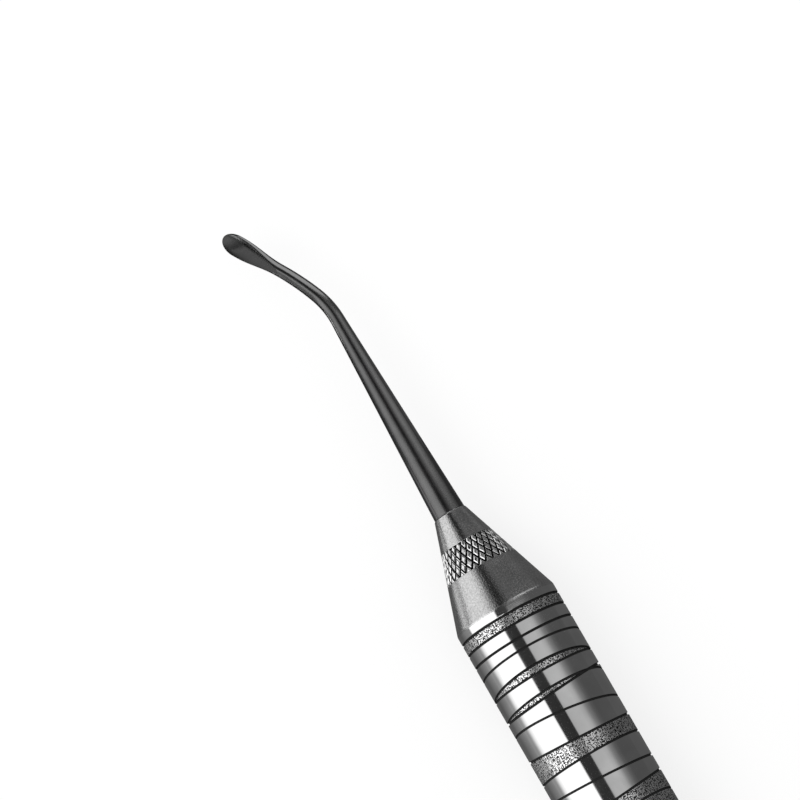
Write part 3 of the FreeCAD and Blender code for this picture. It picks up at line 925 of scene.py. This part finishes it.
def blade_blank(blade, stations, tip):
    """The black bar before it is ground: tang, shank, bends and blade."""
    bm = bmesh.new()
    tang = blade.tang_diameter / 2
    rings = [ring(bm, -TANG_LENGTH, 0.0, BLADE_SEGMENTS), ring(bm, -TANG_LENGTH, tang, BLADE_SEGMENTS),
             ring(bm, 0.0, tang, BLADE_SEGMENTS)]
    turns = [2 * math.pi * i / BLADE_SEGMENTS + blade.roll for i in range(BLADE_SEGMENTS)]
    for centre, heading, half_width, half_height in stations:
        ahead, across, face = blade_axes(blade, heading)
        rings.append([bm.verts.new(centre + across * (-half_width * math.sin(turn))
                                   + face * half_height * math.cos(turn)) for turn in turns])
    rings.append([bm.verts.new(tip)])
    skin_along(bm, rings)
    bmesh.ops.recalc_face_normals(bm, faces=bm.faces)
    return mesh_from(bm, "blade_blank")


def grind_path(blade, place, heading):
    """The wheel edge's centre line: down a slope into the blade and up again on an arc."""
    ahead, across, face = blade_axes(blade, heading)
    slope = blade.grind_slope
    down = math.sin(slope)
    level = math.cos(slope)
    radius = blade.grind_radius
    throat = blade.throat_diameter / 2
    entry = blade.grind_entry
    run = blade.grind_run
    # The path starts twice the wheel edge's radius before the entry, clear of the neck.
    begin = (entry + radius * (down - 2 * level), throat + radius * (level + 2 * down))
    low = (entry + run * level + radius * down, throat - run * down + radius * level)
    lift = blade.grind_lift - radius
    centre = (low[0] + down * lift, low[1] + level * lift)
    flat = []
    for i in range(WHEEL_SLOPE_STEPS + 1):
        part = i / WHEEL_SLOPE_STEPS
        flat.append((begin[0] + (low[0] - begin[0]) * part, begin[1] + (low[1] - begin[1]) * part, -slope))
    for i in range(1, WHEEL_LIFT_STEPS + 1):
        turn = -slope + 3 * slope * i / WHEEL_LIFT_STEPS
        flat.append((centre[0] + lift * math.sin(turn), centre[1] - lift * math.cos(turn), turn))
    base = place + across * blade.grind_shift
    return [(base + ahead * x + face * y, ahead * math.cos(turn) + face * math.sin(turn))
            for x, y, turn in flat]


def grinding_wheel(path, across, radius):
    """What the wheel's round edge sweeps along its path."""
    bm = bmesh.new()
    turns = [2 * math.pi * i / WHEEL_SEGMENTS for i in range(WHEEL_SEGMENTS)]
    rings = []
    for centre, along in path:
        up = across.cross(along)
        rings.append([bm.verts.new(centre + across * radius * math.cos(turn) + up * radius * math.sin(turn))
                      for turn in turns])
    skin_along(bm, rings)
    bm.faces.new(rings[0])
    bm.faces.new(rings[-1])
    bmesh.ops.recalc_face_normals(bm, faces=bm.faces)
    return mesh_from(bm, "grinding_wheel")


def cut_away(body, tool):
    """The first mesh without what the second one covers."""
    holder = add_object("cut_body", body)
    cutter = add_object("cut_tool", tool)
    cut = holder.modifiers.new("cut", "BOOLEAN")
    cut.operation = "DIFFERENCE"
    cut.solver = "EXACT"
    cut.object = cutter
    mesh = applied(holder)
    bpy.data.objects.remove(cutter)
    return mesh


# A face is ground where it lies this near to the wheel, in millimetres.
GROUND_REACH = 0.012


class RASP_OT_blade(bpy.types.Operator):
    """Black working end: tang, tapered shank, bent neck and hollow-ground blade"""
    bl_idname = "rasp.blade"
    bl_label = "Working end"

    def execute(self, context):
        blade = sizes("blade")
        stations, place, heading, tip = blade_stations(blade)
        ahead, across, face = blade_axes(blade, heading)
        radius = blade.grind_radius
        path = grind_path(blade, place, heading)
        bm = working_copy(cut_away(blade_blank(blade, stations, tip), grinding_wheel(path, across, radius)))
        for part in bm.faces:
            middle = part.calc_center_median()
            ground = ((middle - place).dot(ahead) >= 0
                      and min((middle - centre).length for centre, along in path) < radius + GROUND_REACH)
            part.material_index = int(ground)
        if not any(part.material_index for part in bm.faces):
            raise RuntimeError("the hollow face was not ground")
        add_piece("working_end_black", bm, [black_coating(), ground_face()], "working_end",
                  NOSE)
        return {"FINISHED"}


# Studio.

def seen_rays(tree):
    """1 for the rays that show things, straight, mirrored or through glass, and 0 for those that only
    carry light on."""
    rays = node(tree, "ShaderNodeLightPath").outputs
    shown = calc(tree, "MAXIMUM", rays["Is Camera Ray"], rays["Is Glossy Ray"])
    return calc(tree, "MAXIMUM", shown, rays["Is Transmission Ray"])


# The strongest brightness in any card; the colours of a card are shares of it.
STRONGEST = 8.0


def card_material(name, stops):
    """A reflector that glows by the direction round the handle's axis, in degrees from straight up.
    Positive is the side that the neck bends to."""
    material = bpy.data.materials.new(name)
    material.use_nodes = True
    tree = material.node_tree
    tree.nodes.clear()
    parts = node(tree, "ShaderNodeSeparateXYZ", {0: object_place(tree)}).outputs
    turn = calc(tree, "ARCTAN2", parts["Y"], calc(tree, "SUBTRACT", parts["Z"], AXIS_HEIGHT * MM))
    ramp = node(tree, "ShaderNodeValToRGB", {"Fac": ramp_between(tree, turn, 0.0, 1.0, -math.pi, math.pi)})
    elements = ramp.color_ramp.elements
    for i, (degrees, brightness) in enumerate(stops):
        position = degrees / 360 + 0.5
        stop = elements[i] if i < 2 else elements.new(position)
        stop.position = position
        stop.color = (*[brightness / STRONGEST] * 3, 1.0)
    glow = node(tree, "ShaderNodeEmission", {"Color": ramp.outputs["Color"], "Strength": STRONGEST})
    node(tree, "ShaderNodeOutputMaterial", {"Surface": glow.outputs["Emission"]})
    material.cycles.emission_sampling = "NONE"
    return material


def reflector(name, mesh, stops):
    """A card that only shows in polished surfaces, as a card outside the picture does."""
    mesh.materials.append(card_material(name, stops))
    card = add_object(name, mesh)
    card.visible_camera = False
    card.visible_diffuse = False
    card.visible_shadow = False


# Degrees round a tent to one facet of it.
TENT_STEP = 2


def tent_mesh(name, rear, front, radius, start=0, end=360):
    """A stretch of a round tent about the handle's axis, from one direction to another in degrees."""
    steps = (end - start) // TENT_STEP
    corners = []
    for i in range(steps + 1):
        turn = math.radians(start + TENT_STEP * i)
        y = radius * math.sin(turn)
        z = AXIS_HEIGHT + radius * math.cos(turn)
        corners += [(x * MM, y * MM, z * MM) for x in (rear, front)]
    mesh = bpy.data.meshes.new(name)
    mesh.from_pydata(corners, [], [(2 * i, 2 * i + 1, 2 * i + 3, 2 * i + 2) for i in range(steps)])
    return mesh


def flat_mesh(name, rear, front, half_width, height):
    """A level rectangle, in metres."""
    mesh = bpy.data.meshes.new(name)
    mesh.from_pydata([(rear, -half_width, height), (front, -half_width, height),
                      (front, half_width, height), (rear, half_width, height)], [], [(0, 1, 2, 3)])
    return mesh


# Brightness round the handle's axis: degrees from straight up, positive towards the bent side.
HANDLE_CARDS = (
    (-180, 0.13), (-62, 0.11), (-54, 0.15), (-44, 0.3), (-36, 0.58), (-28, 0.68), (-10, 0.66), (-4, 0.6),
    (-3, 0.04), (20, 0.05), (21.5, 1.75), (74, 1.75), (82, 1.3), (88, 0.6), (91, 0.42), (180, 0.33))
COLLAR_CARDS = (
    (-180, 0.13), (-60, 0.12), (-10, 0.16), (-3, 0.08), (20, 0.05), (21.5, 1.75), (89, 1.75), (92, 0.3),
    (180, 0.3))
REAR_CARDS = ((-180, 0.1), (-4, 0.15), (0, 0.1), (20, 0.4), (30, 1.2), (89, 1.3), (180, 0.3))
BLADE_CARDS = ((-180, 0.1), (-4, 0.15), (3, 0.15), (14, 0.6), (24, 0.9), (89, 0.9), (180, 0.2))
GAP_CARDS = ((-180, 0.1), (-60, 0.15), (-4, 0.15), (-3, 0.05), (20, 0.08), (24, 0.3), (89, 0.3), (180, 0.2))
SHANK_CARDS = (
    (-180, 0.2), (-104, 0.3), (-88, 0.6), (-76, 0.85), (-62, 1.2), (-45, 1.4), (-34, 1.05), (-22, 0.6),
    (-13, 0.3), (-7, 0.1), (5, 0.08), (10, 0.2), (20, 0.55), (34, 0.95), (46, 1.25), (62, 1.3), (75, 0.9),
    (88, 0.6), (104, 0.28), (180, 0.2))
CONE_CARDS = (
    (-180, 0.12), (-90, 0.14), (-20, 0.18), (-12, 0.15), (-8, 0.02), (11, 0.02), (16, 0.15), (27, 0.6),
    (36, 1.2), (85, 1.25), (180, 1.0))
FRONT_CARDS = ((-180, 0.12), (-90, 0.14), (14, 0.08), (85, 0.12), (180, 1.0))
NECK_CARDS = ((-180, 0.3), (-100, 0.9), (-88, 2.0), (-24, 2.2), (-10, 0.8), (0, 0.1), (180, 0.1))

# Tents about the axis: name, rear and front station and radius in millimetres, and brightness.
STRETCHES = (
    ("handle", -260.0, 43.3, 30.0, HANDLE_CARDS),
    ("knurl", 30.0, 50.0, 60.0, COLLAR_CARDS),
    ("rear", -260.0, 10.0, 150.0, REAR_CARDS),
    ("blade", 10.0, 35.0, 150.0, BLADE_CARDS),
    ("gap", 35.0, 60.0, 150.0, GAP_CARDS),
    ("collar", 60.0, 84.5, 150.0, COLLAR_CARDS),
    ("shank", 84.5, 115.0, 150.0, SHANK_CARDS),
    ("cone", 115.0, 290.0, 150.0, CONE_CARDS),
    ("front", 290.0, 800.0, 150.0, FRONT_CARDS),
)
# Cards on the floor: name, rear and front station in millimetres, and brightness. There the direction
# goes from 90 degrees far off to 180 right under the axis.
FLOOR_STRETCHES = (
    ("handle", -260.0, 42.5, (
        (-180, 0.1), (-100, 0.13), (96, 0.42), (104, 0.28), (114, 0.14), (180, 0.1))),
    ("knurl", 42.5, 49.0, (
        (-180, 0.1), (-100, 0.13), (-92, 0.13), (92, 0.4), (104, 0.3), (110, 0.2), (114, 0.14), (180, 0.1))),
    ("cone", 49.0, 60.0, (
        (-180, 0.1), (-100, 0.14), (-92, 0.14), (92, 1.2), (101, 1.1), (108, 0.8), (114, 0.15), (180, 0.1))),
    ("shank", 60.0, 74.5, (
        (-180, 0.1), (-104, 0.3), (-97, 0.15), (92, 0.3), (104, 0.3), (110, 0.1), (180, 0.1))),
    ("tip", 74.5, 78.3, (
        (-180, 0.1), (-104, 0.3), (-97, 0.15), (92, 0.05), (102, 0.05), (104, 8.0), (108, 8.0), (110, 0.1),
        (180, 0.1))),
    ("far", 78.3, 95.0, (
        (-180, 0.1), (-104, 0.2), (-97, 0.15), (92, 0.05), (104, 0.05), (106, 0.7), (110, 0.7), (113, 0.08),
        (180, 0.08))),
    ("front", 95.0, 340.0, (
        (-180, 0.1), (-104, 0.2), (-97, 0.15), (91, 1.1), (95, 1.1), (97, 0.08), (180, 0.08))),
)
FLOOR_CARD_HALF_WIDTH = 0.15
FLOOR_CARD_HEIGHT = 0.0001

# The rest of the studio, in metres.
FLOOR_REACH = 4.0
FLOOR_GLOW = 0.75
LAMP_SIZE = 0.6
LAMP_PLACE = (0.25, 0.45, 0.75)
LAMP_AIM = (0.03, 0.0, 0.0)
WHITE = (1.0, 1.0, 1.0)
PAPER = (0.8, 0.8, 0.8)
SENSOR_WIDTH = 36.0
PICTURE_WIDTH = 800


def add_surroundings(scene):
    """White surroundings that show a little brighter than they light."""
    world = bpy.data.worlds.new("white_surroundings")
    world.use_nodes = True
    tree = world.node_tree
    strength = ramp_between(tree, seen_rays(tree), scene.rasp_studio.world, 1.0)
    feed(tree, tree.nodes["Background"], {"Color": (*WHITE, 1.0), "Strength": strength})
    world.cycles.sampling_method = "NONE"
    scene.world = world


def add_floor():
    """A pale matt floor that shows nearly white, so that only a soft shadow is seen on it."""
    material = bpy.data.materials.new("white_floor")
    material.use_nodes = True
    tree = material.node_tree
    tree.nodes.clear()
    seen = seen_rays(tree)
    matt = node(tree, "ShaderNodeBsdfDiffuse", {"Color": tint_between(tree, seen, PAPER, WHITE)})
    white = node(tree, "ShaderNodeEmission", {"Color": (*WHITE, 1.0), "Strength": 1.0})
    shown = node(tree, "ShaderNodeMixShader", {
        0: calc(tree, "MULTIPLY", seen, FLOOR_GLOW), 1: matt.outputs["BSDF"], 2: white.outputs["Emission"]})
    node(tree, "ShaderNodeOutputMaterial", {"Surface": shown.outputs["Shader"]})
    floor = add_object("floor", flat_mesh("floor", -FLOOR_REACH, FLOOR_REACH, FLOOR_REACH, 0.0))
    floor.data.materials.append(material)


def add_cards():
    """Reflectors round the handle's axis, beside the neck and on the floor."""
    for name, rear, front, radius, stops in STRETCHES:
        label = "reflector_" + name
        reflector(label, tent_mesh(label, rear, front, radius), stops)
    reflector("reflector_neck", tent_mesh("reflector_neck", 84.0, 106.0, 20.0, -98, -18), NECK_CARDS)
    for name, rear, front, stops in FLOOR_STRETCHES:
        label = "floor_card_" + name
        mesh = flat_mesh(label, rear * MM, front * MM, FLOOR_CARD_HALF_WIDTH, FLOOR_CARD_HEIGHT)
        reflector(label, mesh, stops)


def add_lamp(power):
    """A soft lamp that doesn't show in polished surfaces."""
    data = bpy.data.lights.new("soft_lamp", "AREA")
    data.shape = "DISK"
    data.size = LAMP_SIZE
    data.energy = power
    lamp = add_object("soft_lamp", data)
    lamp.location = LAMP_PLACE
    lamp.rotation_euler = (Vector(LAMP_AIM) - lamp.location).to_track_quat("-Z", "Y").to_euler()
    lamp.visible_glossy = False


def add_camera(scene):
    """The photograph's camera, as far off as its scale asks for."""
    studio = scene.rasp_studio
    data = bpy.data.cameras.new("camera")
    data.lens = studio.lens
    data.sensor_width = SENSOR_WIDTH
    data.clip_start = 0.01
    distance = studio.lens * PICTURE_WIDTH / SENSOR_WIDTH / studio.scale * MM
    look = Vector((math.sin(studio.lean), 0.0, -math.cos(studio.lean)))
    along = Vector((math.cos(studio.lean), 0.0, math.sin(studio.lean)))
    side = Vector((0.0, 1.0, 0.0))
    right = -along * math.sin(studio.roll) - side * math.cos(studio.roll)
    up = along * math.cos(studio.roll) - side * math.sin(studio.roll)
    turn = Matrix((right, up, -look)).transposed()
    camera = add_object("camera", data)
    camera.matrix_world = Matrix.Translation(Vector(studio.aim) - look * distance) @ turn.to_4x4()
    scene.camera = camera


class RASP_OT_studio(bpy.types.Operator):
    """Pale floor, soft light, reflector cards and the camera"""
    bl_idname = "rasp.studio"
    bl_label = "Studio"

    def execute(self, context):
        scene = context.scene
        add_surroundings(scene)
        add_floor()
        add_cards()
        add_lamp(scene.rasp_studio.key)
        add_camera(scene)
        scene.view_settings.view_transform = "Standard"
        return {"FINISHED"}


class RASP_PT_panel(bpy.types.Panel):
    """Raspatory pieces in building order"""
    bl_label = "Raspatory"
    bl_idname = "RASP_PT_panel"
    bl_space_type = "VIEW_3D"
    bl_region_type = "UI"
    bl_category = "Raspatory"

    def draw(self, context):
        for operator in OPERATORS:
            self.layout.operator(operator.bl_idname)
        for name in GROUPS:
            box = self.layout.box()
            settings = getattr(context.scene, name)
            for key in settings.__annotations__:
                box.prop(settings, key)


GROUPS = {
    "rasp_handle": RASP_PG_handle,
    "rasp_cone": RASP_PG_cone,
    "rasp_blade": RASP_PG_blade,
    "rasp_finish": RASP_PG_finish,
    "rasp_studio": RASP_PG_studio,
}
OPERATORS = (RASP_OT_handle, RASP_OT_plug, RASP_OT_cone, RASP_OT_knurl, RASP_OT_blade, RASP_OT_studio)
CLASSES = (*GROUPS.values(), *OPERATORS, RASP_PT_panel)


def register():
    for made in CLASSES:
        bpy.utils.register_class(made)
    for name, group in GROUPS.items():
        setattr(bpy.types.Scene, name, PointerProperty(type=group))


def unregister():
    for name in GROUPS:
        delattr(bpy.types.Scene, name)
    for made in reversed(CLASSES):
        bpy.utils.unregister_class(made)


def main():
    register()
    bpy.ops.rasp.handle()
    bpy.ops.rasp.plug()
    bpy.ops.rasp.cone()
    bpy.ops.rasp.knurl()
    bpy.ops.rasp.blade()
    bpy.ops.rasp.studio()
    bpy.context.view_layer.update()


if __name__ == "__main__":
    main()
